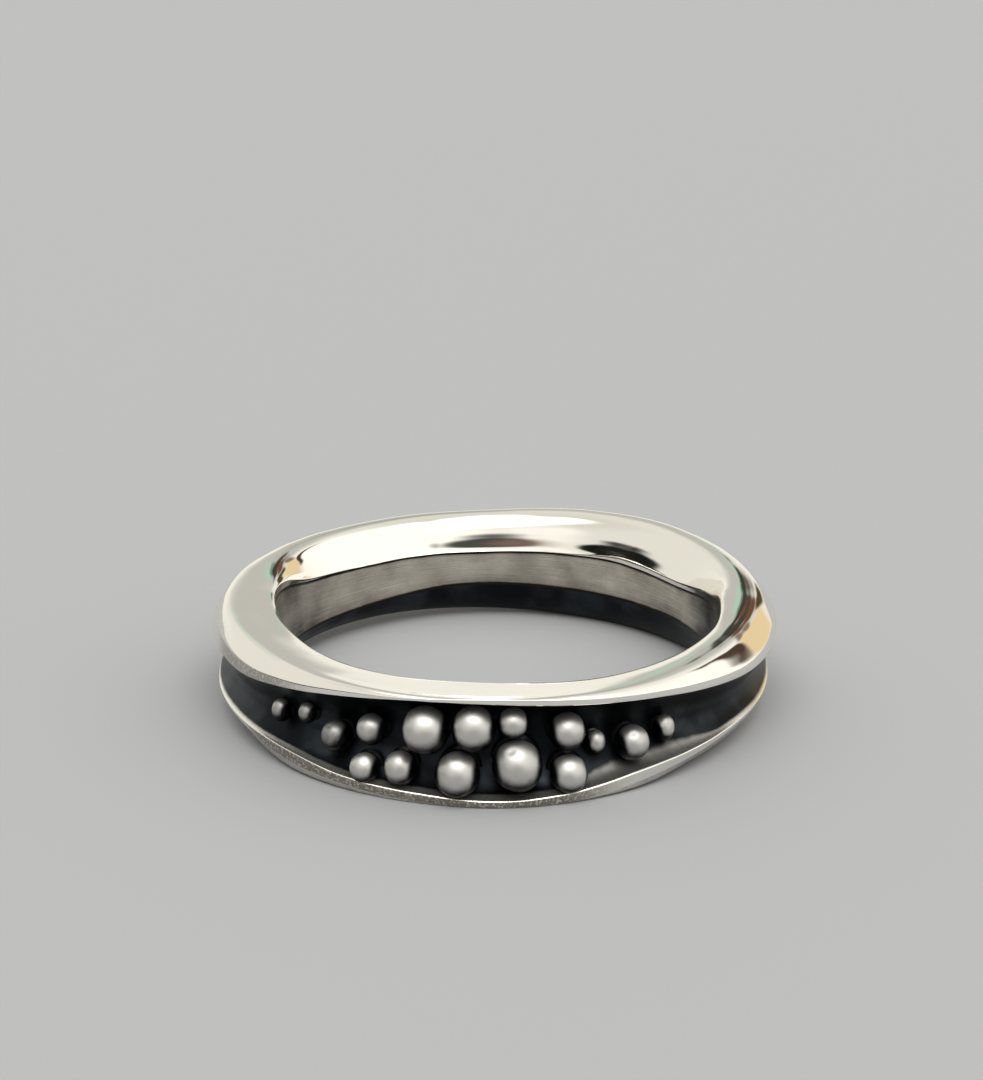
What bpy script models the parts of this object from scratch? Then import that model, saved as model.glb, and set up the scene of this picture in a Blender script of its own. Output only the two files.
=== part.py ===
# Freeform silver band ring: closed domed back, long front channel, fused granules
# The ring lies flat on z = 0. Azimuth is measured from the front, -Y, and grows towards +X.
from typing import NamedTuple

import bmesh
import bpy
import numpy as np

# Driving sizes in metres
FINGER_HOLE_DIAMETER = 0.0175
OUTER_DIAMETER = 0.0229
BAND_HEIGHT = 0.0044
CHANNEL_FLOOR = 0.00125
BIGGEST_GRANULE = 0.0019
LAND_DEPTH = 0.00003

# Counts of facets
BAND_SECTIONS = 96
SPLITS_PER_SPAN = 2
SLEEVE_SPLITS = 3
COVE_SPLITS = 13
GRANULE_SIDES = 12
GRANULE_RINGS = 7

# Shares that have no table
GRANULE_SINK = 0.10
EDGE_SLANT = 0.27
DEEP_COVE_POWER = 0.42
SHALLOW_COVE_POWER = 1.20
SHALLOW_COVE_SAG = 1.60

# The channel is cut from the rims down to the metal that its floor leaves over the finger hole
HOLE_RADIUS = FINGER_HOLE_DIAMETER / 2
WALL = OUTER_DIAMETER / 2 - HOLE_RADIUS
CHANNEL_DEPTH = WALL - CHANNEL_FLOOR
HALF_HEIGHT = BAND_HEIGHT / 2


class Corner(NamedTuple):
    """One corner of half a section, at the front of the ring and at its back."""

    front_out: float
    front_rise: float
    back_out: float
    back_rise: float


class Station(NamedTuple):
    """The section at one azimuth in degrees: how much of the front it holds, and the channel's rims."""

    azimuth: float
    upper_front: float
    lower_front: float
    crown_lift: float
    foot_lift: float
    shoulder_out: float
    shoulder_rise: float
    upper_rim_out: float
    upper_rim_rise: float
    lower_rim_out: float
    lower_rim_drop: float
    lower_edge: float
    depth: float


class Granule(NamedTuple):
    """One fused ball: its azimuth in degrees, height and diameter."""

    azimuth: float
    height: float
    diameter: float


# Out is a share of WALL from the finger hole, a rise or drop a share of HALF_HEIGHT from the middle
UPPER_HALF = (
    Corner(0.000, 0.775, 0.000, 0.350),
    Corner(0.090, 0.835, 0.060, 0.640),
    Corner(0.340, 0.880, 0.225, 0.900),
    Corner(0.690, 0.940, 0.444, 1.000),
    Corner(0.930, 0.995, 0.670, 0.885),
)
LOWER_HALF = (
    Corner(0.000, 0.775, 0.000, 0.350),
    Corner(0.090, 0.835, 0.060, 0.640),
    Corner(0.340, 0.900, 0.190, 0.900),
    Corner(0.690, 1.000, 0.380, 1.020),
    Corner(0.890, 1.005, 0.620, 0.800),
)

# The depth is a share of CHANNEL_DEPTH, below 0 where the band is closed and bulges
STATIONS = (
    Station(-180, 0.00, 0.00, 0.01, 0.08, 0.830, 0.66, 0.915, 0.38, 0.905, 0.35, 0.22, -0.02),
    Station(-145, 0.00, 0.00, 0.01, 0.13, 0.830, 0.66, 0.915, 0.38, 0.905, 0.35, 0.22, -0.02),
    Station(-120, 0.00, 0.00, 0.05, 0.13, 0.830, 0.66, 0.915, 0.40, 0.895, 0.38, 0.18, 0.00),
    Station(-105, 0.02, 0.00, 0.04, 0.10, 0.845, 0.69, 0.920, 0.45, 0.870, 0.43, 0.11, 0.12),
    Station(-90, 0.06, 0.00, 0.03, 0.05, 0.865, 0.74, 0.925, 0.50, 0.852, 0.48, 0.05, 0.31),
    Station(-75, 0.17, 0.02, 0.01, 0.02, 0.875, 0.68, 0.885, 0.40, 0.852, 0.49, 0.05, 0.42),
    Station(-62, 0.32, 0.22, 0.00, 0.00, 0.895, 0.65, 0.900, 0.42, 0.860, 0.52, 0.09, 0.53),
    Station(-45, 0.50, 0.68, 0.00, 0.00, 0.930, 0.73, 0.937, 0.60, 0.905, 0.58, 0.24, 0.72),
    Station(-30, 0.69, 0.87, 0.00, 0.00, 0.965, 0.87, 0.965, 0.78, 0.940, 0.73, 0.17, 0.90),
    Station(-15, 0.91, 0.97, 0.00, 0.00, 0.985, 0.96, 0.985, 0.91, 0.970, 0.80, 0.17, 0.98),
    Station(0, 1.00, 1.00, 0.00, 0.00, 1.000, 1.01, 1.000, 0.91, 1.000, 0.86, 0.13, 1.00),
    Station(15, 0.91, 0.90, 0.00, 0.00, 0.985, 0.94, 0.985, 0.83, 0.963, 0.79, 0.18, 0.98),
    Station(30, 0.69, 0.67, 0.00, 0.00, 0.965, 0.85, 0.965, 0.73, 0.885, 0.62, 0.21, 0.90),
    Station(45, 0.50, 0.20, 0.00, 0.00, 0.930, 0.73, 0.937, 0.58, 0.830, 0.53, 0.13, 0.72),
    Station(62, 0.32, 0.00, 0.02, 0.00, 0.895, 0.62, 0.900, 0.45, 0.802, 0.46, 0.06, 0.53),
    Station(75, 0.17, 0.00, 0.05, 0.00, 0.875, 0.68, 0.885, 0.42, 0.797, 0.44, 0.05, 0.42),
    Station(90, 0.06, 0.00, 0.08, 0.00, 0.865, 0.74, 0.925, 0.50, 0.800, 0.42, 0.05, 0.31),
    Station(105, 0.02, 0.00, 0.13, 0.00, 0.845, 0.69, 0.920, 0.45, 0.840, 0.42, 0.11, 0.12),
    Station(120, 0.00, 0.00, 0.16, 0.00, 0.830, 0.66, 0.915, 0.40, 0.895, 0.38, 0.18, 0.00),
    Station(140, 0.00, 0.00, 0.17, 0.00, 0.830, 0.66, 0.915, 0.38, 0.905, 0.35, 0.22, -0.02),
    Station(160, 0.00, 0.00, 0.11, 0.03, 0.830, 0.66, 0.915, 0.38, 0.905, 0.35, 0.22, -0.02),
)

# Height is a share of BAND_HEIGHT, diameter a share of BIGGEST_GRANULE
GRANULES = (
    Granule(-50.5, 0.480, 0.36),
    Granule(-42.6, 0.545, 0.36),
    Granule(-34.5, 0.425, 0.62),
    Granule(-26.2, 0.550, 0.62),
    Granule(-27.3, 0.205, 0.58),
    Granule(-19.4, 0.260, 0.66),
    Granule(-14.5, 0.635, 0.95),
    Granule(-4.6, 0.680, 0.88),
    Granule(3.6, 0.730, 0.64),
    Granule(-7.6, 0.215, 0.90),
    Granule(4.4, 0.325, 1.00),
    Granule(14.7, 0.615, 0.74),
    Granule(15.4, 0.205, 0.74),
    Granule(21.4, 0.455, 0.44),
    Granule(29.4, 0.405, 0.66),
    Granule(38.3, 0.475, 0.44),
)


def clear_scene():
    """Removes every object that the scene starts with."""
    for held in list(bpy.data.objects):
        bpy.data.objects.remove(held, do_unlink=True)


def smooth_curve(knots, values, places):
    """Values at places on a smooth curve through the knots, a cubic with matched slopes per span."""
    slopes = np.gradient(values, knots, axis=0)
    span = np.clip(np.searchsorted(knots, places, side="right") - 1, 0, len(knots) - 2)
    width = (knots[span + 1] - knots[span])[:, None]
    t = (places - knots[span])[:, None] / width
    start = (2 * t**3 - 3 * t**2 + 1) * values[span]
    start += (t**3 - 2 * t**2 + t) * width * slopes[span]
    end = (3 * t**2 - 2 * t**3) * values[span + 1]
    end += (t**3 - t**2) * width * slopes[span + 1]
    return start + end


def stations_at(azimuth):
    """The station table's columns at each azimuth, in degrees, smooth all round the ring."""
    table = np.array(STATIONS)
    turns = np.concatenate([table[:, 0] - 360, table[:, 0], table[:, 0] + 360])
    values = smooth_curve(turns, np.tile(table[:, 1:], (3, 1)), azimuth)
    return Station(azimuth[:, None], *(column[:, None] for column in values.T))


def half_outline(half, front_share, shoulder_out, shoulder_rise, lift):
    """Radius and rise of one half of the section, on a smooth curve from its lip to its shoulder."""
    corners = np.array(half)
    mix = np.clip(front_share, 0, 1)
    outs = np.hstack([mix * corners[:, 0] + (1 - mix) * corners[:, 2], shoulder_out])
    rises = (mix * corners[:, 1] + (1 - mix) * corners[:, 3]) * (1 + lift)
    rises = np.hstack([rises, shoulder_rise])
    knots = np.arange(len(corners) + 1)
    steps = np.arange(len(corners) * SPLITS_PER_SPAN + 1) / SPLITS_PER_SPAN
    curved_outs = smooth_curve(knots, outs.T, steps).T
    curved_rises = smooth_curve(knots, rises.T, steps).T
    return HOLE_RADIUS + WALL * np.clip(curved_outs, 0, 1), curved_rises


def cove_radius(station, along):
    """The channel's radius, along running from 0 at the upper rim to 1 at the lower rim."""
    straight = station.upper_rim_out + along * (station.lower_rim_out - station.upper_rim_out)
    shallow = 1 - np.clip(station.depth, 0, 1)
    power = DEEP_COVE_POWER + shallow * (SHALLOW_COVE_POWER - DEEP_COVE_POWER)
    sag = 1 + shallow * (SHALLOW_COVE_SAG - 1)
    hollow = np.sin(np.pi * np.clip(along, 0, 1) ** sag) ** power
    return HOLE_RADIUS + WALL * straight - CHANNEL_DEPTH * station.depth * hollow


def rim_heights(station):
    """Heights of the channel's upper and lower rim."""
    upper = HALF_HEIGHT * (1 + station.upper_rim_rise)
    lower = HALF_HEIGHT * (1 - station.lower_rim_drop)
    return upper, lower


def on_ring(azimuth, radius, height):
    """World places of points at an azimuth in degrees, a radius and a height."""
    angle = np.radians(azimuth) + 0 * radius
    return np.stack([radius * np.sin(angle), -radius * np.cos(angle), height], axis=-1)


def mesh_object(name, points, faces):
    """A new smooth-shaded object of these points and faces, its normals facing out."""
    built = bmesh.new()
    corners = [built.verts.new(point) for point in points.reshape(-1, 3)]
    for face in faces:
        built.faces.new([corners[index] for index in face])
    bmesh.ops.recalc_face_normals(built, faces=built.faces)
    mesh = bpy.data.meshes.new(name)
    built.to_mesh(mesh)
    built.free()
    mesh.shade_smooth()
    mesh.set_sharp_from_angle(angle=np.radians(40))
    made = bpy.data.objects.new(name, mesh)
    bpy.context.scene.collection.objects.link(made)
    return made


def quads(rows, columns, rows_close):
    """Faces of a grid whose columns close into a loop, and whose rows do too if asked."""
    faces = []
    for row in range(rows if rows_close else rows - 1):
        for column in range(columns):
            after = (column + 1) % columns
            here = row * columns
            there = (row + 1) % rows * columns
            faces.append((here + column, here + after, there + after, there + column))
    return faces


def build_band():
    """The band with its channel: one closed section lofted all round the finger hole."""
    azimuth = np.arange(BAND_SECTIONS) * 360 / BAND_SECTIONS - 180
    now = stations_at(azimuth)
    top_radius, rise = half_outline(
        UPPER_HALF, now.upper_front, now.shoulder_out, now.shoulder_rise, now.crown_lift
    )
    top = HALF_HEIGHT * (1 + rise)
    base_radius, drop = half_outline(
        LOWER_HALF,
        now.lower_front,
        now.lower_rim_out - EDGE_SLANT * now.lower_edge,
        now.lower_rim_drop + now.lower_edge,
        -now.foot_lift,
    )
    # The underside is levelled where it would dip below the land that the ring rests on
    base = np.maximum(HALF_HEIGHT - (HALF_HEIGHT + LAND_DEPTH) * drop, 0)
    # The cove's points crowd towards the rims, where it turns most
    along = (1 - np.cos(np.pi * np.arange(COVE_SPLITS + 1) / COVE_SPLITS)) / 2
    upper_rim, lower_rim = rim_heights(now)
    cove = upper_rim + along * (lower_rim - upper_rim)
    # The sleeve runs straight from the lower lip back up to the upper lip
    climb = np.arange(1, SLEEVE_SPLITS) / SLEEVE_SPLITS
    sleeve = base[:, :1] + climb * (top[:, :1] - base[:, :1])
    channel_radius = cove_radius(now, along)
    sleeve_radius = np.full_like(sleeve, HOLE_RADIUS)
    radii = np.hstack([top_radius, channel_radius, base_radius[:, ::-1], sleeve_radius])
    heights = np.hstack([top, cove, base[:, ::-1], sleeve])
    points = on_ring(azimuth[:, None], radii, heights)
    return mesh_object("ring_body", points, quads(*radii.shape, rows_close=True))


def build_granule(number, granule):
    """One ball sunk a little into the channel's floor, its poles facing in and out."""
    now = stations_at(np.array([granule.azimuth]))
    height = BAND_HEIGHT * granule.height
    upper_rim, lower_rim = rim_heights(now)
    along = (upper_rim - height) / (upper_rim - lower_rim)
    radius = BIGGEST_GRANULE * granule.diameter / 2
    reach = cove_radius(now, along) + radius * (1 - 2 * GRANULE_SINK)
    centre = on_ring(granule.azimuth, reach, height + 0 * reach).reshape(3)
    angle = np.radians(granule.azimuth)
    outwards = np.array([np.sin(angle), -np.cos(angle), 0])
    sideways = np.array([np.cos(angle), np.sin(angle), 0])
    upwards = np.array([0, 0, 1])
    tilt = np.linspace(0, np.pi, GRANULE_RINGS + 2)[1:-1, None, None]
    turn = np.arange(GRANULE_SIDES)[None, :, None] * 2 * np.pi / GRANULE_SIDES
    around = np.cos(turn) * sideways + np.sin(turn) * upwards
    rings = np.cos(tilt) * outwards + np.sin(tilt) * around
    points = np.vstack([rings.reshape(-1, 3), outwards, -outwards]) * radius + centre
    faces = quads(GRANULE_RINGS, GRANULE_SIDES, rows_close=False)
    outer_pole = GRANULE_RINGS * GRANULE_SIDES
    last_ring = outer_pole - GRANULE_SIDES
    for side in range(GRANULE_SIDES):
        after = (side + 1) % GRANULE_SIDES
        faces.append((side, after, outer_pole))
        faces.append((last_ring + after, last_ring + side, outer_pole + 1))
    return mesh_object(f"granule_{number:02d}", points, faces)


def fuse(body, granule, label):
    """Adds the granule to the body with an exact Boolean, and keeps the granule itself as a hidden wire."""
    boolean = body.modifiers.new(label, "BOOLEAN")
    boolean.operation = "UNION"
    boolean.solver = "EXACT"
    boolean.object = granule
    granule.hide_render = True
    granule.display_type = "WIRE"


def silver_material():
    """Polished sterling silver."""
    silver = bpy.data.materials.new("sterling_silver")
    silver.use_nodes = True
    shader = silver.node_tree.nodes["Principled BSDF"]
    shader.inputs["Base Color"].default_value = (0.86, 0.85, 0.82, 1)
    shader.inputs["Metallic"].default_value = 1.0
    shader.inputs["Roughness"].default_value = 0.12
    return silver


def main():
    """Builds the ring as one fused silver body."""
    clear_scene()
    band = build_band()
    band.data.materials.append(silver_material())
    for number, granule in enumerate(GRANULES, start=1):
        fuse(band, build_granule(number, granule), f"granule {number:02d}")


main()
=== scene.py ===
"""Freeform silver ring: polished domed back, blackened channel with fused granules, soft studio.

All sizes are metres in the row frame: the ring lies flat on z = 0, its finger hole on the z axis.
Azimuth is measured in degrees from the front, -Y, and grows towards +X.
"""

import logging
from dataclasses import dataclass, field
from enum import Enum
from typing import Any, NamedTuple

import bpy
import numpy as np
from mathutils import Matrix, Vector


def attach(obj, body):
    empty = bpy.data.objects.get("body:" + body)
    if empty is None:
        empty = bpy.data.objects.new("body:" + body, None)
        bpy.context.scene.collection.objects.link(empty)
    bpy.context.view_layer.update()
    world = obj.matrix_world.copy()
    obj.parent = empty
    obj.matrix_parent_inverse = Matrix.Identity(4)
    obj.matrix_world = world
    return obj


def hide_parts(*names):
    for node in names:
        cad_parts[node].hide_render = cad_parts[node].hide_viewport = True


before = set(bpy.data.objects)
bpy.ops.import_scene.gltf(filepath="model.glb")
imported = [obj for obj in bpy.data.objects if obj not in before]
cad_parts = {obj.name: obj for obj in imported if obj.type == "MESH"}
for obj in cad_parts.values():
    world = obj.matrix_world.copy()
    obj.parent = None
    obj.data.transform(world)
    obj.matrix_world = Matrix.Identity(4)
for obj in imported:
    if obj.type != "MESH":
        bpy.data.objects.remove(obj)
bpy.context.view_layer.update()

log = logging.getLogger("freeform_ring")

Array = np.ndarray
MM = 0.001
RING_NODE = "ring_body"
ROOT_BODY = "root"


# -------- sizes and tables


class Corner(NamedTuple):
    """One corner of half a section: its out and rise at the front, back, left and right."""

    front: tuple[float, float]
    back: tuple[float, float]
    left: tuple[float, float]
    right: tuple[float, float]


class Station(NamedTuple):
    """The section at one azimuth: how much of the front it holds, and the channel's rims."""

    azimuth: float
    upper_front: float
    lower_front: float
    crown_lift: float
    foot_lift: float
    shoulder_out: float
    shoulder_rise: float
    upper_rim_out: float
    upper_rim_rise: float
    lower_rim_out: float
    lower_rim_drop: float
    lower_edge: float
    depth: float
    flat: float


class Window(NamedTuple):
    """A stretch of azimuth, faded in between its first two angles and out between its last two."""

    rise: float
    full: float
    fall: float
    gone: float

    def share(self, azimuth: Array) -> Array:
        """How far each azimuth lies inside, 0 to 1."""
        return smoothstep(self.rise, self.full, azimuth) * (1 - smoothstep(self.fall, self.gone, azimuth))


class Granule(NamedTuple):
    """One fused ball: azimuth, height and diameter as shares, its stretch upwards, its rub and its pit."""

    azimuth: float
    height: float
    diameter: float
    tall: float
    rub: float
    pit_at: tuple[float, float] = (0.0, 0.0)
    pit_depth: float = 0.0


class Patch(NamedTuple):
    """One blurred ellipse of the sky: where, how big, turned, how soft, its colour, strength and cover."""

    azimuth: float
    elevation: float
    half_wide: float
    half_high: float
    turn: float
    soft: float
    colour: str
    strength: float
    cover: float = 1.0


# Out is a share of the wall from the finger hole, a rise or drop a share of half the height
UPPER_HALF = (
    Corner((0.000, 0.775), (0.000, 0.350), (0.000, 0.800), (0.000, 0.800)),
    Corner((0.050, 0.830), (0.030, 0.395), (0.045, 0.930), (0.045, 0.930)),
    Corner((0.090, 0.840), (0.075, 0.580), (0.080, 0.960), (0.080, 0.965)),
    Corner((0.170, 0.855), (0.135, 0.760), (0.140, 0.980), (0.140, 0.985)),
    Corner((0.340, 0.880), (0.260, 0.930), (0.300, 0.990), (0.300, 1.000)),
    Corner((0.690, 0.940), (0.444, 1.000), (0.540, 1.000), (0.460, 0.985)),
    Corner((0.930, 0.995), (0.670, 0.885), (0.715, 0.930), (0.660, 0.905)),
)
LOWER_HALF = (
    Corner((0.000, 0.775), (0.000, 0.350), (0.000, 0.600), (0.000, 0.350)),
    Corner((0.090, 0.835), (0.060, 0.640), (0.050, 0.780), (0.060, 0.640)),
    Corner((0.340, 0.900), (0.190, 0.900), (0.170, 0.950), (0.190, 0.900)),
    Corner((0.690, 1.000), (0.380, 1.020), (0.380, 1.020), (0.380, 1.020)),
    Corner((0.890, 1.005), (0.620, 0.800), (0.620, 0.800), (0.620, 0.800)),
)

# Rows of Station. The depth is a share of the channel's, below 0 where the band is closed and bulges
STATIONS = (
    (-180, 0.00, 0.00, 0.01, 0.08, 0.830, 0.66, 0.915, 0.38, 0.905, 0.35, 0.22, -0.02, 0.00),
    (-145, 0.00, 0.00, 0.01, 0.17, 0.830, 0.66, 0.915, 0.38, 0.905, 0.35, 0.22, -0.02, 0.00),
    (-120, 0.00, 0.00, 0.05, 0.17, 0.830, 0.66, 0.915, 0.40, 0.895, 0.38, 0.18, 0.00, -0.25),
    (-105, 0.02, 0.00, 0.04, 0.13, 0.845, 0.69, 0.920, 0.45, 0.870, 0.43, 0.11, 0.12, -0.75),
    (-90, 0.06, 0.00, 0.03, 0.05, 0.865, 0.74, 0.925, 0.50, 0.852, 0.48, 0.05, 0.31, -1.00),
    (-75, 0.17, 0.02, 0.01, 0.02, 0.875, 0.68, 0.885, 0.40, 0.852, 0.49, 0.05, 0.42, -1.00),
    (-62, 0.32, 0.22, 0.00, 0.00, 0.895, 0.65, 0.900, 0.42, 0.860, 0.52, 0.09, 0.53, -0.80),
    (-45, 0.64, 0.68, 0.00, 0.00, 0.930, 0.73, 0.937, 0.60, 0.905, 0.58, 0.24, 0.72, -0.30),
    (-30, 0.86, 0.87, 0.00, 0.00, 0.965, 0.87, 0.965, 0.78, 0.940, 0.73, 0.17, 0.90, -0.05),
    (-15, 0.97, 0.97, 0.00, 0.00, 0.985, 0.96, 0.985, 0.91, 0.970, 0.80, 0.17, 0.98, 0.00),
    (0, 1.00, 1.00, 0.00, 0.00, 1.000, 1.01, 1.000, 0.91, 1.000, 0.86, 0.13, 1.00, 0.00),
    (15, 0.91, 0.90, 0.00, 0.00, 0.985, 0.94, 0.985, 0.83, 0.963, 0.79, 0.18, 0.98, 0.00),
    (30, 0.69, 0.67, 0.00, 0.00, 0.965, 0.85, 0.965, 0.73, 0.885, 0.62, 0.21, 0.90, 0.15),
    (45, 0.50, 0.20, 0.00, 0.00, 0.930, 0.73, 0.937, 0.58, 0.830, 0.53, 0.13, 0.72, 0.45),
    (62, 0.32, 0.00, 0.02, 0.00, 0.915, 0.60, 0.912, 0.44, 0.802, 0.46, 0.06, 0.53, 0.85),
    (75, 0.17, 0.00, 0.05, 0.00, 0.905, 0.62, 0.905, 0.42, 0.797, 0.44, 0.05, 0.42, 1.00),
    (90, 0.06, 0.00, 0.08, 0.00, 0.900, 0.67, 0.918, 0.46, 0.800, 0.42, 0.05, 0.31, 1.00),
    (105, 0.02, 0.00, 0.13, 0.00, 0.845, 0.69, 0.920, 0.45, 0.840, 0.42, 0.11, 0.12, 0.65),
    (120, 0.00, 0.00, 0.16, 0.00, 0.830, 0.66, 0.915, 0.40, 0.895, 0.38, 0.18, 0.00, 0.20),
    (140, 0.00, 0.00, 0.17, 0.00, 0.830, 0.66, 0.915, 0.38, 0.905, 0.35, 0.22, -0.02, 0.00),
    (160, 0.00, 0.00, 0.11, 0.03, 0.830, 0.66, 0.915, 0.38, 0.905, 0.35, 0.22, -0.02, 0.00),
)

# At the right of the front the lip flares away from the hole: azimuth, and a share of the wall
LIP_FLARE = ((-180, 0.0), (26, 0.0), (44, 0.06), (58, 0.13), (69, 0.14), (80, 0.06), (92, 0.0), (180, 0.0))

# The lip's first knots: how they lean outwards at the sides, and sink and lean where it dips
LIP_LEAN = np.array([0.02, 0.035, 0.040, 0.0])
DIP_DROP = np.array([0.22, 0.19, 0.12, 0.04])
DIP_LEAN = np.array([0.005, 0.037, 0.060, 0.035])

# Where the inside of the lip is painted dark as painted shade, and how wide in millimetres
LIP_SHADE_WINDOWS = (
    (Window(38, 64, 84, 112), 0.10),
    (Window(-82, -74, -54, -40), 0.14),
    (Window(24, 34, 40, 60), 0.05),
)

# Height is a share of the band's, diameter a share of the biggest ball's
GRANULES = (
    Granule(-50.5, 0.480, 0.40, 1.22, 0.62),
    Granule(-42.6, 0.545, 0.37, 1.18, 0.60),
    Granule(-34.5, 0.425, 0.62, 1.05, 0.52, (-0.2, 0.77), 0.05),
    Granule(-26.2, 0.550, 0.62, 1.03, 0.75),
    Granule(-26.7, 0.225, 0.60, 1.05, 0.85, (0.2, 0.84), 0.03),
    Granule(-19.2, 0.265, 0.66, 1.08, 0.90),
    Granule(-14.0, 0.640, 0.95, 1.03, 0.95),
    Granule(-4.2, 0.680, 0.88, 1.06, 1.00),
    Granule(3.6, 0.725, 0.64, 0.98, 1.00),
    Granule(-7.4, 0.270, 0.90, 1.03, 0.95, (-0.1, 0.96), 0.04),
    Granule(4.4, 0.350, 1.00, 1.05, 1.00, (-0.3, 0.80), 0.06),
    Granule(14.7, 0.610, 0.74, 1.04, 0.95, (0.1, -0.29), 0.04),
    Granule(14.7, 0.245, 0.76, 1.03, 1.00),
    Granule(21.5, 0.445, 0.42, 1.25, 0.85),
    Granule(29.4, 0.405, 0.68, 1.08, 0.85, (-0.3, 0.76), 0.05),
    Granule(38.3, 0.445, 0.42, 1.30, 0.95),
)


# What the polished silver mirrors: ellipses on the sky, painted one over the other. Azimuth 0 is ahead
# of the camera and 90 to its right, angles and half sizes are degrees
SKY = (
    Patch(0, 90, 360, 32, 0, 0.35, "EDEBE2", 0.92),
    Patch(112, 28, 66, 42, 0, 0.45, "FFFDF6", 1.25),
    Patch(-150, 30, 22, 24, 0, 0.45, "FFFDF6", 1.10),
    Patch(-130, 62, 60, 20, 0, 0.55, "D6D4C8", 1.0, 0.7),
    Patch(180, 66, 75, 18, 0, 0.40, "FFFEFA", 4.4),
    Patch(0, 90, 360, 12, 0, 0.40, "FFFEFA", 2.6),
    Patch(2, 33, 30, 19, 0, 0.40, "C5C5BF", 1.0),
    Patch(4, 38, 8, 8, 0, 0.50, "A9ABA3", 1.0, 0.8),
    Patch(0, 6, 40, 7, 0, 0.50, "F6F4EA", 1.05, 0.9),
    Patch(-32, 29, 17, 2.6, -20, 0.50, "C3DDC9", 1.0, 0.5),
    Patch(40, 13, 13, 13, 0, 0.30, "EFD8AC", 1.0),
    Patch(4.4, 23.0, 2.4, 2.4, 10, 0.45, "B2D9C2", 1.0, 0.8),
    Patch(7.2, 23.5, 1.6, 3.4, 0, 0.45, "7C9484", 1.0),
    Patch(11.6, 25, 3.4, 8.0, -12, 0.25, "43433A", 1.0),
    Patch(18.4, 25, 4.4, 7.5, -12, 0.35, "70503E", 1.0),
    Patch(23.5, 11, 4.2, 9.5, 0, 0.30, "52462F", 1.0),
    Patch(34, 28, 11, 3.0, -12, 0.45, "7E6A5A", 1.0, 0.9),
    Patch(51.5, 27, 3.8, 15, 8, 0.35, "4E3D33", 1.0),
    Patch(-107, -7.5, 40, 19, 0, 0.06, "191B18", 1.0),
    Patch(177, -6, 35, 25, 0, 0.12, "4A4B47", 1.0),
    Patch(-168, 4, 22, 9, 0, 0.50, "8A7268", 1.0, 0.8),
)


# -------- small helpers


def linear(hex_colour: str) -> tuple[float, float, float, float]:
    """Turns an sRGB hex colour into linear light.

    Args:
        hex_colour: six hex digits, as in "D9D5CC".

    Returns:
        Red, green and blue in linear light, and an alpha of 1.
    """
    srgb = np.array([int(hex_colour[at : at + 2], 16) for at in (0, 2, 4)]) / 255
    light = np.where(srgb <= 0.04045, srgb / 12.92, ((srgb + 0.055) / 1.055) ** 2.4)
    return (*light.tolist(), 1.0)


def smoothstep(low: float, high: float, value: Array) -> Array:
    """Eases from 0 at low to 1 at high: 3 t squared minus 2 t cubed.

    Args:
        low: where the result leaves 0.
        high: where it reaches 1.
        value: what is eased.

    Returns:
        The eased share, 0 to 1.
    """
    t = np.clip((value - low) / (high - low), 0, 1)
    return t * t * (3 - 2 * t)


def between(first: Array | float, last: Array | float, share: Array) -> Array:
    """A straight line: first plus share times the way from first to last."""
    return first + share * (last - first)


def smooth_curve(knots: Array, values: Array, places: Array) -> Array:
    """Values on a cubic curve through knots, each span matching the central slopes at its ends.

    Args:
        knots: rising places of the known values.
        values: one row per knot.
        places: where the curve is wanted.

    Returns:
        One row per place.
    """
    slopes = np.gradient(values, knots, axis=0)
    span = np.clip(np.searchsorted(knots, places, side="right") - 1, 0, len(knots) - 2)
    width = (knots[span + 1] - knots[span])[:, None]
    t = (places - knots[span])[:, None] / width
    start = (2 * t**3 - 3 * t**2 + 1) * values[span]
    start += (t**3 - 2 * t**2 + t) * width * slopes[span]
    end = (3 * t**2 - 2 * t**3) * values[span + 1]
    end += (t**3 - t**2) * width * slopes[span + 1]
    return start + end


def on_ring(azimuth: Array, radius: Array, height: Array) -> Array:
    """Points at an azimuth, a radius and a height: x is radius times sine, y minus radius times cosine.

    Args:
        azimuth: degrees from the front.
        radius: distance from the finger hole's axis.
        height: distance above the table.

    Returns:
        Points with x, y and z in the last axis.
    """
    angle = np.radians(azimuth) + 0 * radius
    return np.stack([radius * np.sin(angle), -radius * np.cos(angle), height], axis=-1)


def waves(seed: int, places: Array, length: float, count: int = 24) -> Array:
    """Smooth seeded waviness: the mean of plane sine waves in random directions and phases.

    Args:
        seed: picks the directions and phases.
        places: points, x, y and z in the last axis.
        length: a typical wave length.
        count: how many waves are summed.

    Returns:
        About -1 to 1, one value per point.
    """
    picked = np.random.default_rng(seed)
    heading = picked.normal(size=(count, 3))
    heading *= picked.uniform(0.7, 1.4, (count, 1)) / np.linalg.norm(heading, axis=1, keepdims=True)
    phase = picked.uniform(0, 2 * np.pi, count)
    total = np.sin(places @ heading.T * (2 * np.pi / length) + phase).sum(axis=-1)
    return total / np.sqrt(count / 2) / 2


def grid_quads(rows: int, columns: int, rows_close: bool) -> Array:
    """Corner numbers of a grid's quads, its columns closing into a loop.

    Args:
        rows: rows of points.
        columns: points in a row.
        rows_close: whether the last row joins the first.

    Returns:
        Four point numbers per quad.
    """
    row = np.arange(rows if rows_close else rows - 1)[:, None]
    column = np.arange(columns)[None, :]
    after = (column + 1) % columns
    here, there = row * columns, (row + 1) % rows * columns
    return np.stack([here + after, there + after, there + column, here + column], axis=-1).reshape(-1, 4)


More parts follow.
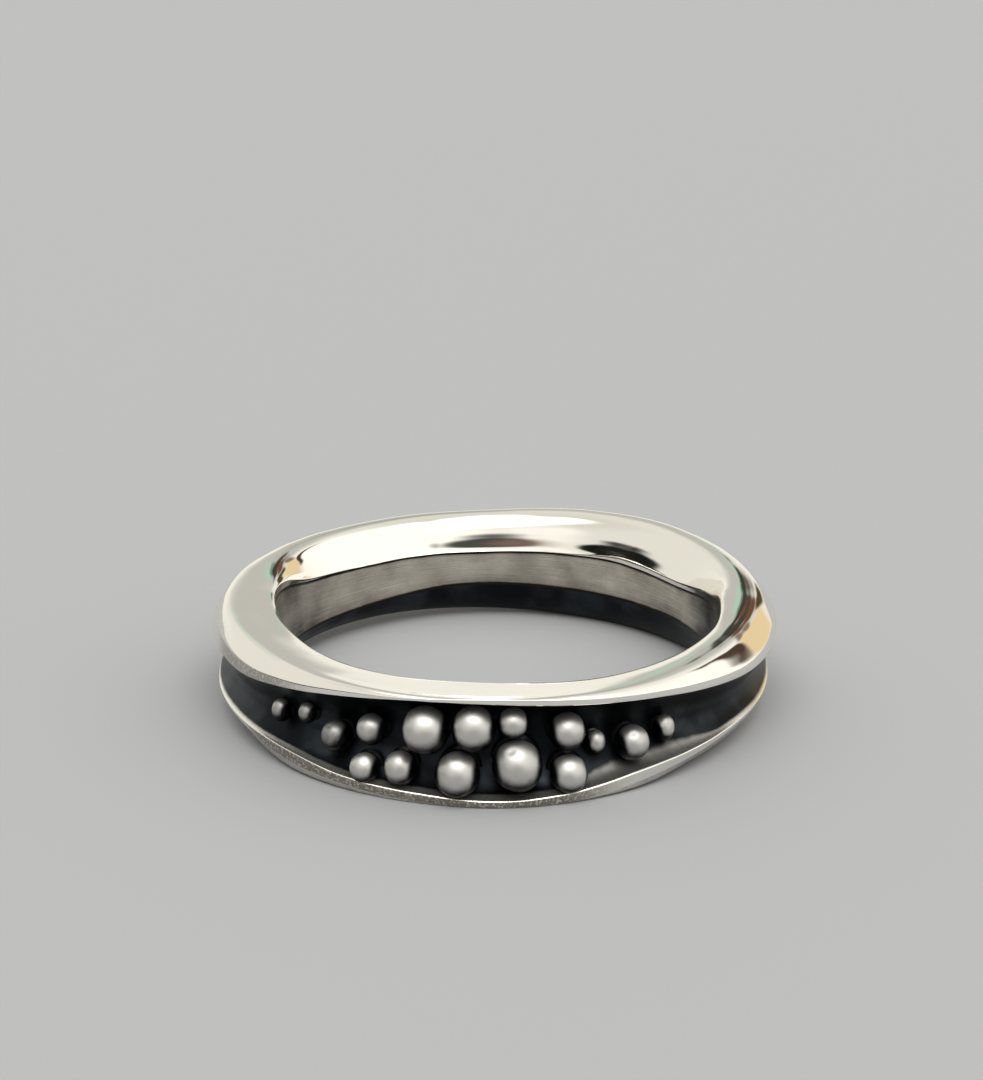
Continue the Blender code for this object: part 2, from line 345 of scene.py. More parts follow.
def add_mesh(name: str, points: Array, quads: Array, fans: Array | None = None) -> bpy.types.Object:
    """Puts points and faces into a new smooth object at the origin.

    Args:
        name: the piece's name.
        points: one point per row.
        quads: four point numbers per face.
        fans: three point numbers per face, where the piece has poles.

    Returns:
        The new object, linked to the scene.
    """
    triangles = np.empty((0, 3), int) if fans is None else fans
    mesh = bpy.data.meshes.new(name)
    mesh.vertices.add(len(points))
    mesh.vertices.foreach_set("co", points.astype(np.float32).ravel())
    corners = np.concatenate([quads.ravel(), triangles.ravel()])
    mesh.loops.add(len(corners))
    mesh.loops.foreach_set("vertex_index", corners.astype(np.int32))
    mesh.polygons.add(len(quads) + len(triangles))
    sizes = np.concatenate([np.full(len(quads), 4), np.full(len(triangles), 3)])
    mesh.polygons.foreach_set("loop_start", (np.cumsum(sizes) - sizes).astype(np.int32))
    mesh.update(calc_edges=True)
    mesh.validate()
    mesh.shade_smooth()
    made = bpy.data.objects.new(name, mesh)
    bpy.context.scene.collection.objects.link(made)
    return made


def add_attribute(piece: bpy.types.Object, name: str, values: Array) -> None:
    """Stores one number per point under a name that materials read.

    Args:
        piece: the object whose mesh gets it.
        name: the attribute's name.
        values: one number per point.
    """
    attribute = piece.data.attributes.new(name, "FLOAT", "POINT")
    attribute.data.foreach_set("value", values.astype(np.float32).ravel())


# -------- finishes


COLOURS = {"data_type": "RGBA"}
EASED = {"interpolation_type": "SMOOTHSTEP"}
TIMES = {"operation": "MULTIPLY"}
TIMES_PLUS = {"operation": "MULTIPLY_ADD"}


class Nodes:
    """A material's or the sky's node tree, which gets its nodes, their settings and their links."""

    def __init__(self, tree: bpy.types.NodeTree) -> None:
        """Keeps the tree that is built in."""
        self.tree = tree

    def add(self, kind: str, settings: dict[str, Any] | None = None, **links: Any) -> bpy.types.Node:
        """Adds a node.

        Args:
            kind: the node's type after "ShaderNode", as in "Math".
            settings: the node's own attributes and their values.
            links: its inputs, as plug takes them.

        Returns:
            The new node.
        """
        node = self.tree.nodes.new("ShaderNode" + kind)
        for name, value in (settings or {}).items():
            setattr(node, name, value)
        self.plug(node, **links)
        return node

    def plug(self, node: bpy.types.Node, **links: Any) -> None:
        """Links or sets a node's inputs.

        Args:
            node: the node.
            links: input name, with _ for a space or in_ and its number, to a value, a socket or a node,
                which stands for its first output.
        """
        for name, value in links.items():
            key: Any = int(name[3:]) if name.startswith("in_") else name.replace("_", " ")
            if isinstance(value, bpy.types.Node):
                value = value.outputs[0]
            if isinstance(value, bpy.types.NodeSocket):
                self.tree.links.new(value, node.inputs[key])
            else:
                node.inputs[key].default_value = value


def new_material(name: str) -> tuple[bpy.types.Material, Nodes, bpy.types.Node]:
    """Starts a material with nothing but its shader and output.

    Args:
        name: the material's name.

    Returns:
        The material, its nodes and its Principled BSDF.
    """
    made = bpy.data.materials.new(name)
    made.use_nodes = True
    shader = made.node_tree.nodes["Principled BSDF"]
    return made, Nodes(made.node_tree), shader


POLISH_COLOUR = "F4F1EA"
POLISH_ROUGHNESS = 0.055


@dataclass(frozen=True)
class PolishedSilver:
    """Sterling silver polished on a buff: a warm white mirror with a faint haze and orange peel."""

    colour: str = POLISH_COLOUR
    painted_shade_colour: str = "26241F"
    roughness: float = POLISH_ROUGHNESS
    painted_shade_roughness: float = 0.25
    haze_mm: float = 1.6
    peel_mm: float = 0.7
    peel_height_mm: float = 0.004

    def material(self) -> bpy.types.Material:
        """Makes the mirror finish, painted dark and dull as painted shade where the patina_and_shade
        attribute is high.
        """
        made, nodes, shader = new_material("polished_sterling_silver")
        place = nodes.add("TexCoord").outputs["Object"]
        haze = nodes.add(
            "TexNoise", Vector=place, Scale=1 / (self.haze_mm * MM), Detail=3.0, Roughness=0.55
        )
        rough = nodes.add(
            "MapRange",
            Value=haze,
            From_Min=0.3,
            From_Max=0.75,
            To_Min=self.roughness * 0.7,
            To_Max=self.roughness * 1.6,
        )
        peel = nodes.add("TexNoise", Vector=place, Scale=1 / (self.peel_mm * MM), Detail=1.0)
        bump = nodes.add("Bump", Strength=0.35, Distance=self.peel_height_mm * MM, Height=peel)
        patina_and_shade = nodes.add("Attribute", {"attribute_name": "patina_and_shade"}).outputs["Fac"]
        colour = nodes.add(
            "Mix", COLOURS, in_0=patina_and_shade, in_6=linear(self.colour), in_7=linear(self.painted_shade_colour)
        )
        dulled = nodes.add("Math", TIMES_PLUS, in_0=patina_and_shade, in_1=self.painted_shade_roughness, in_2=rough)
        nodes.plug(shader, Metallic=1.0, Base_Color=colour.outputs[2], Roughness=dulled, Normal=bump)
        return made


@dataclass(frozen=True)
class SatinSilver:
    """Sterling silver rubbed round the hole with fine abrasive: streaked, with painted shade in its corners
    and tarnish in patches.
    """

    light: str = "DAD3C6"
    dark: str = "2B2721"
    roughness: float = 0.30
    streak_mm: float = 2.0
    grain_mm: float = 0.06
    grain_height_mm: float = 0.004
    cloud_mm: float = 1.4

    def material(self) -> bpy.types.Material:
        """Makes the satin finish, streaked round the hole and darkened by the tarnish and painted shade
        attribute.
        """
        made, nodes, shader = new_material("satin_sterling_silver")
        uv = nodes.add("UVMap", {"uv_map": "along"}).outputs["UV"]
        scale = (1 / (self.streak_mm * MM), 1 / (self.grain_mm * MM), 1.0)
        streak_map = nodes.add("Mapping", Vector=uv, Scale=scale)
        streaks = nodes.add("TexNoise", Vector=streak_map, Scale=1.0, Detail=3.0)
        place = nodes.add("TexCoord").outputs["Object"]
        cloud = nodes.add("TexNoise", Vector=place, Scale=1 / (self.cloud_mm * MM), Detail=4.0)
        tarnish_and_shade = nodes.add("Attribute", {"attribute_name": "tarnish_and_shade"}).outputs["Fac"]
        mottle = nodes.add("Math", TIMES_PLUS, in_0=cloud, in_1=1.1, in_2=-0.55)
        lined = nodes.add("Math", TIMES_PLUS, in_0=streaks, in_1=0.5, in_2=mottle)
        clamped = {"operation": "ADD", "use_clamp": True}
        share = nodes.add("Math", clamped, in_0=tarnish_and_shade, in_1=lined)
        colour = nodes.add("Mix", COLOURS, in_0=share, in_6=linear(self.light), in_7=linear(self.dark))
        rough = nodes.add(
            "MapRange",
            Value=streaks,
            From_Min=0.3,
            From_Max=0.7,
            To_Min=self.roughness * 0.8,
            To_Max=self.roughness * 1.25,
        )
        bump = nodes.add("Bump", Strength=0.5, Distance=self.grain_height_mm * MM, Height=streaks)
        nodes.plug(shader, Metallic=1.0, Base_Color=colour.outputs[2], Roughness=rough, Normal=bump)
        return made


@dataclass(frozen=True)
class BlackenedSilver:
    """Silver blackened with liver of sulphur: blue-black and soft, rubbed to bare metal near the rims;
    under the ring its black is painted shade.
    """

    name: str = "blackened_silver"
    black: str = "15181C"
    worn: str = "3A4046"
    rubbed_and_lit: str = POLISH_COLOUR
    roughness: float = 0.36
    rubbed_roughness: float = 0.26
    mottle: float = 0.18
    edge: float = 0.5
    patch_mm: float = 0.35
    patch_height_mm: float = 0.006
    cloud_mm: float = 2.2

    def material(self) -> bpy.types.Material:
        """Makes the patina, thinned by the rubbed_and_lit attribute (wear, and on the balls painted light)
        and broken up by noise.
        """
        made, nodes, shader = new_material(self.name)
        place = nodes.add("TexCoord").outputs["Object"]
        rub = nodes.add("Attribute", {"attribute_name": "rubbed_and_lit"}).outputs["Fac"]
        patch = nodes.add(
            "TexNoise", Vector=place, Scale=1 / (self.patch_mm * MM), Detail=5.0, Roughness=0.6
        )
        cloud = nodes.add("TexNoise", Vector=place, Scale=1 / (self.cloud_mm * MM), Detail=3.0)
        broken = nodes.add("Math", TIMES_PLUS, in_0=patch, in_1=self.mottle, in_2=-self.mottle / 2)
        share = nodes.add("Math", {"operation": "ADD"}, in_0=rub, in_1=broken)
        bright = nodes.add(
            "MapRange", EASED, Value=share, From_Min=self.edge - 0.28, From_Max=self.edge + 0.32
        )
        thin = nodes.add("MapRange", EASED, Value=cloud, From_Min=0.42, From_Max=0.68, To_Max=0.6)
        patina_and_shade = nodes.add("Mix", COLOURS, in_0=thin, in_6=linear(self.black), in_7=linear(self.worn))
        colour = nodes.add("Mix", COLOURS, in_0=bright, in_6=patina_and_shade.outputs[2], in_7=linear(self.rubbed_and_lit))
        buffed = nodes.add("Attribute", {"attribute_name": "buffed"}).outputs["Fac"]
        bare = nodes.add("MapRange", Value=buffed, To_Min=self.rubbed_roughness, To_Max=POLISH_ROUGHNESS)
        rough = nodes.add("MapRange", Value=bright, To_Min=self.roughness, To_Max=bare)
        grain = nodes.add("MapRange", Value=bright, From_Min=1.0, From_Max=0.0, To_Max=0.6)
        bump = nodes.add("Bump", Strength=grain, Distance=self.patch_height_mm * MM, Height=patch)
        nodes.plug(shader, Metallic=0.95, Base_Color=colour.outputs[2], Roughness=rough, Normal=bump)
        return made


@dataclass(frozen=True)
class SandedSilver:
    """Silver edge dressed on coarse paper: dull brownish grey with bright specks along its corners."""

    colour: str = "8F887E"
    roughness: float = 0.40
    grit_mm: float = 0.10
    grit_height_mm: float = 0.03

    def material(self) -> bpy.types.Material:
        """Makes the sanded edge, polished where the sanded attribute is low."""
        made, nodes, shader = new_material("sanded_sterling_silver")
        place = nodes.add("TexCoord").outputs["Object"]
        sanded = nodes.add("Attribute", {"attribute_name": "sanded"}).outputs["Fac"]
        grit = nodes.add(
            "TexNoise", Vector=place, Scale=1 / (self.grit_mm * MM), Detail=4.0, Roughness=0.65
        )
        # Specks: the tops of the grit stay bright
        speck = nodes.add("MapRange", Value=grit, From_Min=0.50, From_Max=0.66, To_Min=1.0, To_Max=0.15)
        share = nodes.add("Math", TIMES, in_0=sanded, in_1=speck)
        colour = nodes.add("Mix", COLOURS, in_0=share, in_6=linear(POLISH_COLOUR), in_7=linear(self.colour))
        rough = nodes.add("MapRange", Value=sanded, To_Min=POLISH_ROUGHNESS, To_Max=self.roughness)
        height = nodes.add("Math", TIMES, in_0=grit, in_1=sanded)
        bump = nodes.add("Bump", Strength=1.0, Distance=self.grit_height_mm * MM, Height=height)
        nodes.plug(shader, Metallic=1.0, Base_Color=colour.outputs[2], Roughness=rough, Normal=bump)
        return made


# -------- the ring


class Zone(Enum):
    """A stretch of the band's section, and the order in which its points run."""

    CROWN = 0
    UPPER_EDGE = 1
    CHANNEL = 2
    LOWER_EDGE = 3
    FOOT = 4
    SLEEVE = 5


class Finish(Enum):
    """The band's material slots, in their order."""

    POLISHED = 0
    SATIN = 1
    BLACKENED = 2
    SANDED = 3


ZONE_FINISH = {
    Zone.CROWN: Finish.POLISHED,
    Zone.UPPER_EDGE: Finish.SANDED,
    Zone.CHANNEL: Finish.BLACKENED,
    Zone.LOWER_EDGE: Finish.SANDED,
    # The foot's black finish is painted shade under the ring
    Zone.FOOT: Finish.BLACKENED,
    Zone.SLEEVE: Finish.SATIN,
}


@dataclass
class Band:
    """The band: sleeve, domed back, two flanges and the channel, one closed skin round the hole."""

    hole_radius: float = 8.75 * MM
    outer_radius: float = 11.45 * MM
    height: float = 4.4 * MM
    channel_floor: float = 1.25 * MM
    land_depth: float = 0.03 * MM
    edge_slant: float = 0.27
    deep_power: float = 0.42
    shallow_power: float = 1.20
    shallow_sag: float = 1.60
    edge_ease: float = 0.028 * MM
    side_melt: float = 5.0
    rim_rub: float = 0.15 * MM
    end_rub_left: float = 0.12
    end_rub_right: float = 0.30
    hammer: float = 0.013 * MM
    # Where the sleeve's foot is square, the lip leans and dips, fingers rub the lower rim, the lower and
    # upper edges are sanded, and the sleeve is darker
    square_foot_at: Window = Window(-178, -130, -100, -60)
    lean_at: Window = Window(-165, -157, 118, 146)
    dip_at: Window = Window(84, 102, 104, 150)
    fingers_at: Window = Window(12, 26, 36, 54)
    low_sand_at: Window = Window(-64, -54, 12, 30)
    high_sand_at: Window = Window(-82, -68, -52, -34)
    darker_sleeve_at: Window = Window(52, 80, 98, 122)
    around: int = 600
    splits: dict[Zone, int] = field(
        default_factory=lambda: {
            Zone.CROWN: 63,
            Zone.UPPER_EDGE: 6,
            Zone.CHANNEL: 36,
            Zone.LOWER_EDGE: 6,
            Zone.FOOT: 30,
            Zone.SLEEVE: 24,
        }
    )

    def wall(self) -> float:
        """The metal from the finger hole to the outermost edge."""
        return self.outer_radius - self.hole_radius

    def stations_at(self, azimuth: Array) -> Station:
        """The station table's columns at each azimuth, on a cubic curve that closes round the ring."""
        table = np.array(STATIONS)
        turns = np.concatenate([table[:, 0] - 360, table[:, 0], table[:, 0] + 360])
        values = smooth_curve(turns, np.tile(table[:, 1:], (3, 1)), azimuth)
        return Station(azimuth[:, None], *(column[:, None] for column in values.T))

    def half_knots(
        self,
        half: tuple[Corner, ...],
        front_share: Array,
        flat: Array,
        end_out: Array,
        end_rise: Array,
        lift: Array,
    ) -> tuple[Array, Array]:
        """Knots of half a section from its lip to its shoulder, mixed between front, back and flat side.

        Args:
            half: the half's table of corners.
            front_share: how much of the front each azimuth holds.
            flat: how much of the flat side, below 0 of the left one and above 0 of the right one.
            end_out: the shoulder's place across the wall.
            end_rise: the shoulder's rise.
            lift: what the rises are raised by, as a share.

        Returns:
            Radius and rise, one row per azimuth and one column per knot.
        """
        front, back, left, right = np.array(half).transpose(1, 0, 2)
        mix, flat = np.clip(front_share, 0, 1)[..., None], np.clip(flat, -1, 1)[..., None]
        knots = mix * front + (1 - mix) * back
        knots = knots + np.abs(flat) * (np.where(flat < 0, left, right) - knots)
        outs = np.hstack([knots[..., 0], end_out])
        return self.hole_radius + self.wall() * outs, np.hstack([knots[..., 1] * (1 + lift), end_rise])

    def channel_radius(self, now: Station, along: Array) -> Array:
        """The channel's radius: straight from rim to rim, less a sine lobe whose power sets its fullness.

        Args:
            now: the stations.
            along: 0 at the upper rim to 1 at the lower rim.

        Returns:
            One radius per azimuth and place.
        """
        straight = between(now.upper_rim_out, now.lower_rim_out, along)
        shallow = 1 - np.clip(now.depth, 0, 1)
        power = between(self.deep_power, self.shallow_power, shallow)
        sag = 1 + shallow * (self.shallow_sag - 1)
        hollow = np.sin(np.pi * np.clip(along, 0, 1) ** sag) ** power
        depth = (self.wall() - self.channel_floor) * now.depth
        return self.hole_radius + self.wall() * straight - depth * hollow

    def rim_heights(self, now: Station) -> tuple[Array, Array]:
        """Heights of the channel's upper and lower rim."""
        half = self.height / 2
        return half * (1 + now.upper_rim_rise), half * (1 - now.lower_rim_drop)

    def knots(self, now: Station) -> tuple[Array, Array, Array, Array, Array]:
        """Knots of both halves of every section, with the lip's lean, dip and flare.

        Args:
            now: the stations.

        Returns:
            The upper half's radii and heights, the lower half's radii and heights, and the flare.
        """
        half = self.height / 2
        azimuth = now.azimuth
        top_out, top_rise = self.half_knots(
            UPPER_HALF, now.upper_front, now.flat, now.shoulder_out, now.shoulder_rise, now.crown_lift
        )
        low_out, low_drop = self.half_knots(
            LOWER_HALF,
            now.lower_front,
            -self.square_foot_at.share(azimuth),
            now.lower_rim_out - self.edge_slant * now.lower_edge,
            now.lower_rim_drop + now.lower_edge,
            -now.foot_lift,
        )
        # Over the lip the back is steep, but leans outwards at the sides, where the lip dips at the right
        lean = self.lean_at.share(azimuth) * (1 - np.clip(now.upper_front, 0, 1)) * (1 - np.abs(now.flat))
        dip = self.dip_at.share(azimuth)
        top_rise[:, :4] -= dip * DIP_DROP
        top_out[:, 1:5] += self.wall() * (lean * LIP_LEAN + dip * DIP_LEAN)
        # Further forward the lip flares, and the crown narrows between it and the fifth knot
        flare_at, flares = np.array(LIP_FLARE).T
        flare = self.wall() * smooth_curve(flare_at, flares[:, None], azimuth[:, 0])
        inner = top_out[:, :5] - self.hole_radius
        top_out[:, :5] += flare * (1 - inner / (top_out[:, 5:6] - self.hole_radius))
        return top_out, half * (1 + top_rise), low_out, half - (half + self.land_depth) * low_drop, flare

    def section(self, now: Station) -> tuple[Array, Array]:
        """The closed section at every azimuth: sharp corners at the front, one smooth curve at the back.

        Args:
            now: the stations.

        Returns:
            Radius and height, one row per azimuth and one column per point.
        """
        top_r, top_z, low_r, low_z, flare = self.knots(now)
        upper_z, lower_z = self.rim_heights(now)
        steps = {zone: np.arange(count) / count for zone, count in self.splits.items()}
        top_knots, low_knots = np.arange(top_r.shape[1]), np.arange(low_r.shape[1])
        crown = steps[Zone.CROWN] * top_knots[-1]
        foot = (1 - steps[Zone.FOOT]) * low_knots[-1]
        # Points crowd towards the rims, where the channel turns most
        along = (1 - np.cos(np.pi * steps[Zone.CHANNEL])) / 2
        rim_r = self.channel_radius(now, np.array([0.0, 1.0]))
        # and towards both ends of the sleeve, where the dark line under the lip needs them
        climb = (1 - np.cos(np.pi * steps[Zone.SLEEVE])) / 2
        # One curve from lip to lip runs through the same knots and the channel's middle
        last = top_knots[-1]
        places = np.concatenate(
            [
                crown,
                last + steps[Zone.UPPER_EDGE],
                last + 1 + 2 * along,
                last + 3 + steps[Zone.LOWER_EDGE],
                last + 4 + steps[Zone.FOOT] * low_knots[-1],
            ]
        )
        links = np.arange(len(top_knots) + 3 + len(low_knots))
        closed = 1 - smoothstep(0.10, 0.36, now.depth)
        channel_r, middle_r = self.channel_radius(now, along), self.channel_radius(now, np.array([0.5]))
        channel_z, middle_z = between(upper_z, lower_z, along), (upper_z + lower_z) / 2
        rim_z = np.hstack([upper_z, lower_z])
        sleeve_r, sleeve_z = self.hole_radius + flare * climb**2, between(low_z[:, :1], top_z[:, :1], climb)
        made = []
        for top, rim, channel, middle, low, sleeve in (
            (top_r, rim_r, channel_r, middle_r, low_r, sleeve_r),
            (top_z, rim_z, channel_z, middle_z, low_z, sleeve_z),
        ):
            sharp = [
                smooth_curve(top_knots, top.T, crown).T,
                between(top[:, -1:], rim[:, :1], steps[Zone.UPPER_EDGE]),
                channel,
                between(rim[:, 1:], low[:, -1:], steps[Zone.LOWER_EDGE]),
                smooth_curve(low_knots, low.T, foot).T,
                sleeve,
            ]
            chain = np.hstack([top, rim[:, :1], middle, rim[:, 1:], low[:, ::-1]])
            rounded = np.hstack([smooth_curve(links, chain.T, places).T, sleeve])
            made.append(between(np.hstack(sharp), rounded, closed))
        return np.clip(made[0], self.hole_radius, self.outer_radius), np.maximum(made[1], 0)

    def eased(self, radius: Array, height: Array, ease: Array) -> tuple[Array, Array]:
        """Rounds corners: each point moves until its shift equals ease squared times the curvature.

        Args:
            radius: radii of the closed sections, one row each.
            height: their heights.
            ease: how far a corner's rounding reaches, one value per point.

        Returns:
            The rounded radii and heights.
        """
        path = np.stack([radius, height], axis=-1)
        after = np.linalg.norm(np.roll(path, -1, axis=1) - path, axis=-1) + 1e-7
        before = np.roll(after, 1, axis=1)
        pull_after = 2 * ease**2 / (after * (after + before))
        pull_before = 2 * ease**2 / (before * (after + before))
        count = radius.shape[1]
        here = np.arange(count)
        matrix = np.zeros((len(radius), count, count))
        matrix[:, here, here] = 1 + pull_after + pull_before
        matrix[:, here, (here + 1) % count] = -pull_after
        matrix[:, here, here - 1] = -pull_before
        solved = np.linalg.solve(matrix, path)
        return solved[..., 0], solved[..., 1]

    def build(self) -> bpy.types.Object:
        """Lofts the eased sections round the hole and stores what the finishes read."""
        azimuth = np.arange(self.around) * 360 / self.around - 180
        now = self.stations_at(azimuth)
        zones = self.zones()
        # The upper edge is crisp in front and melts into the dome at the sides
        melt = smoothstep(0.25, 0.75, now.depth)
        edge = zones == Zone.UPPER_EDGE.value
        near_edge = edge | np.roll(edge, -4) | np.roll(edge, 3)
        ease = self.edge_ease * (1 + (1 - melt) * self.side_melt * near_edge)
        radius, height = self.eased(*self.section(now), ease)
        points = on_ring(azimuth[:, None], radius, np.maximum(height, 0))
        # Hand work leaves the polished faces faintly wavy, and the lip and the channel a little more
        rise = self.hammer * waves(7, points, 4.2 * MM) + 0.3 * self.hammer * waves(8, points, 1.5 * MM)
        calm = smoothstep(0.1 * MM, 0.5 * MM, height) * (1 - 0.5 * (zones == Zone.SLEEVE.value))
        radius, height = np.maximum(radius + 0.4 * calm * rise, self.hole_radius), height + calm * rise
        points = on_ring(azimuth[:, None], radius, np.maximum(height, 0))
        rows, columns = radius.shape
        piece = add_mesh("ring_band", points.reshape(-1, 3), grid_quads(rows, columns, rows_close=True))
        self.paint(piece, now, radius, points)
        self.unroll(piece, azimuth, radius, points[..., 2])
        return piece

    def zones(self) -> Array:
        """The number of the zone that each of a section's points starts."""
        return np.concatenate([np.full(self.splits[zone], zone.value) for zone in Zone])

    def paint(self, piece: bpy.types.Object, now: Station, radius: Array, points: Array) -> None:
        """Stores what the finishes read, and each face's finish.

        Args:
            piece: the band.
            now: the stations.
            radius: radii of the sections.
            points: their points.
        """
        azimuth, height, zones = now.azimuth, points[..., 2], self.zones()
        finishes = np.array([ZONE_FINISH[zone].value for zone in Zone])[zones]
        piece.data.polygons.foreach_set("material_index", np.tile(finishes, len(radius)).astype(np.int32))
        upper, lower = self.rim_heights(now)
        # The black tapers off where the channel ends, and reaches further on the left
        along = np.clip((upper - height) / (upper - lower), 0, 1)
        shade = now.depth * (0.7 + 0.3 * np.sin(np.pi * along))
        fade = 1 - np.where(azimuth < 0, smoothstep(0.03, 0.14, shade), smoothstep(0.05, 0.22, shade))
        # Rubbed back along both rims of the channel, wider at the right where fingers reach it
        fingers = self.fingers_at.share(azimuth)
        low_rim = np.clip(1 - (height - lower) / (self.rim_rub * (1 + 3.5 * fingers)), 0, 1)
        high_rim = np.clip(1 - (upper - height) / (0.4 * self.rim_rub), 0, 1)
        rims = np.maximum((1 - 0.35 * fingers) * low_rim, 0.8 * high_rim)
        ends = np.where(azimuth < 0, self.end_rub_left, self.end_rub_right)
        ends = ends * (1 - smoothstep(0.30, 0.62, now.depth))
        in_channel = np.maximum(np.maximum(fade, ends), rims)
        # Under the ring the black is painted shade, left off the outer half of the closed back
        step = np.arange(len(zones)) - np.flatnonzero(zones == Zone.FOOT.value)[0]
        step = step / self.splits[Zone.FOOT]
        outer_half, faint = 1 - smoothstep(0.25, 0.45, step), 0.55 * (1 - smoothstep(0.36, 0.5, step))
        rubbed_and_lit = np.where(zones == Zone.FOOT.value, np.maximum(fade * outer_half, faint), in_channel)
        rubbed_and_lit = np.where(zones == Zone.SLEEVE.value, 0, rubbed_and_lit)
        add_attribute(piece, "rubbed_and_lit", np.clip(rubbed_and_lit, 0, 1))
        add_attribute(piece, "buffed", fade + 0 * radius)
        low_sand, high_sand = self.low_sand_at.share(azimuth), 0.75 * self.high_sand_at.share(azimuth)
        add_attribute(piece, "sanded", np.where(zones == Zone.LOWER_EDGE.value, low_sand, high_sand))
        # The sleeve's painted shade: a dark line in the crease under its lip, lighter below that, darker
        # towards the foot and darkest in the corner at the foot
        bottom, top = height[:, [np.flatnonzero(zones == Zone.SLEEVE.value)[0]]], height[:, :1]
        down = (top - height) / MM
        line = (1 - smoothstep(0.07, 0.13, down)) * smoothstep(-0.02, 0.02, down)
        low = smoothstep(0.45, 1.0, (top - height) / (top - bottom))
        corner = 1.3 * (1 - smoothstep(0.02, 0.20, (height - bottom) / MM))
        patchy = 0.10 * waves(5, points, 5 * MM) - 0.08
        # darker at the right and in a spot at the back left, and a little at the front as a painted
        # reflection of the ring's dark inside
        patchy = patchy + 0.75 * self.darker_sleeve_at.share(azimuth)
        patchy = patchy + 0.30 * np.exp(-(((azimuth + 112) / 10) ** 2))
        patchy = patchy + 0.15 * (1 - smoothstep(60, 100, np.abs(azimuth)))
        add_attribute(piece, "tarnish_and_shade", np.maximum(np.maximum(0.95 * line, corner), patchy + 0.32 * low))
        # Painted shade: the inside edge of the crown is painted dark within these widths
        lip_shade_width = sum(width * window.share(azimuth) for window, width in LIP_SHADE_WINDOWS)
        inside = 1 - smoothstep(-0.04, 0.04, (radius - radius[:, :1]) / MM - lip_shade_width)
        add_attribute(piece, "patina_and_shade", inside * (zones == Zone.CROWN.value) * (lip_shade_width > 0.01))

    def unroll(self, piece: bpy.types.Object, azimuth: Array, radius: Array, height: Array) -> None:
        """Stores lengths along the surface as a UV map: u round the hole, v along the section.

        Args:
            piece: the band.
            azimuth: the sections' azimuths.
            radius: their radii, one row each.
            height: their heights.
        """
        around = np.radians(np.append(azimuth, azimuth[0] + 360))[:, None] * self.hole_radius
        step_r = np.diff(radius, axis=1, append=radius[:, :1])
        step_z = np.diff(height, axis=1, append=height[:, :1])
        run = np.concatenate([[0.0], np.cumsum(np.hypot(step_r, step_z), axis=1).mean(axis=0)])
        # The four corners of each face, in the order of grid_quads
        u_sides = (around[:-1], around[1:], around[1:], around[:-1])
        v_sides = (run[1:], run[1:], run[:-1], run[:-1])
        u, v = (
            np.stack([np.broadcast_to(side, radius.shape) for side in sides], axis=-1)
            for sides in (u_sides, v_sides)
        )
        layer = piece.data.uv_layers.new(name="along")
        layer.data.foreach_set("uv", np.stack([u, v], axis=-1).astype(np.float32).ravel())

    def dress(self, piece: bpy.types.Object) -> None:
        """Gives the band its four finishes, in the order of Finish."""
        for finish in (PolishedSilver(), SatinSilver(), BlackenedSilver(), SandedSilver()):
            piece.data.materials.append(finish.material())


